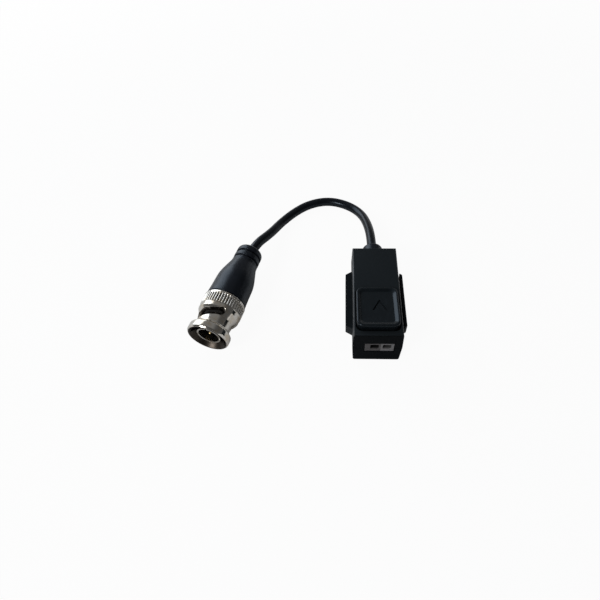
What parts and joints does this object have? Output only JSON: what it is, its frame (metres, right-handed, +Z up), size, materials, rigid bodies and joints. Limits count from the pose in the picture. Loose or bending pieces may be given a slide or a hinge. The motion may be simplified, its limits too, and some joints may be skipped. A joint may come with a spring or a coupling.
{
  "type": "cctv video balun",
  "caption": "Passive video balun: moulded housing with a push-wire terminal, a sprung press lever on top and a short coaxial pigtail that ends in a bayonet plug with a turning nut.",
  "frame": {"origin": "middle of the housing's base, on the surface that it rests on", "axes": "+Y along the housing from the terminal to the cable, +Z up through the press lever, +X to the right when the terminal faces the viewer"},
  "size_m": [0.074, 0.0805, 0.0173],
  "materials": {
    "housing_plastic": "fine moulded texture",
    "lever_plastic": "satin moulded",
    "terminal_dark": "satin moulded",
    "terminal_light": "satin moulded",
    "tinned_copper": "tinned",
    "spring_steel": "rolled",
    "board_laminate": "solder mask",
    "ferrite": "ground",
    "winding_copper": "enamelled wire",
    "ceramic": "glazed",
    "capacitor_body": "sintered",
    "resistor_body": "coated",
    "cable_jacket": "smooth vinyl",
    "boot_vinyl": "satin vinyl",
    "nickel": "nickel plated",
    "gold_contact": "gold flashed",
    "fluoropolymer": "turned",
    "silicone_seal": "moulded"
  },
  "bodies": {
    "housing": {"lower_shell": "housing_plastic", "upper_shell": "housing_plastic", "terminal_pole_left": "terminal_dark", "terminal_pole_right": "terminal_light", "contact_left": "tinned_copper", "contact_right": "tinned_copper", "clamp_spring_left": "spring_steel", "clamp_spring_right": "spring_steel", "circuit_board": "board_laminate", "choke_core": "ferrite", "choke_winding_primary": "winding_copper", "choke_winding_secondary": "winding_copper", "surge_arrester": "ceramic", "coupling_capacitor_left": "capacitor_body", "coupling_capacitor_right": "capacitor_body", "termination_resistor": "resistor_body", "signal_lead": "tinned_copper", "screen_lead": "tinned_copper", "cable": "cable_jacket", "strain_relief": "boot_vinyl", "wave_washer": "spring_steel", "plug_shell": "nickel", "insulator": "fluoropolymer", "centre_pin": "gold_contact", "sealing_gasket": "silicone_seal", "cable_core": "fluoropolymer", "crimp_ferrule": "nickel", "plug_boot": "boot_vinyl"},
    "press_lever": {"press_lever": "lever_plastic"},
    "nut_carrier": {"thrust_washer": "nickel"},
    "nut": {"coupling_nut": "nickel", "retaining_ring": "nickel"}
  },
  "joints": [
    {"name": "lever_press", "type": "hinge", "parent": "housing", "child": "press_lever", "pos_m": [0, 0.0016, 0.013], "axis": [1, 0, 0], "range_deg": [0, 6], "stiffness_Nm_per_rad": 0.4, "deforming": ["clamp_spring_left", "clamp_spring_right"]},
    {"name": "nut_float", "type": "slide", "parent": "housing", "child": "nut_carrier", "axis": [-0.236, -0.9718, 0], "range_m": [0, 0.0003]},
    {"name": "nut_turn", "type": "hinge", "parent": "nut_carrier", "child": "nut", "pos_m": [-0.0567, -0.0154, 0.00742], "axis": [-0.236, -0.9718, 0], "continuous": true}
  ]
}
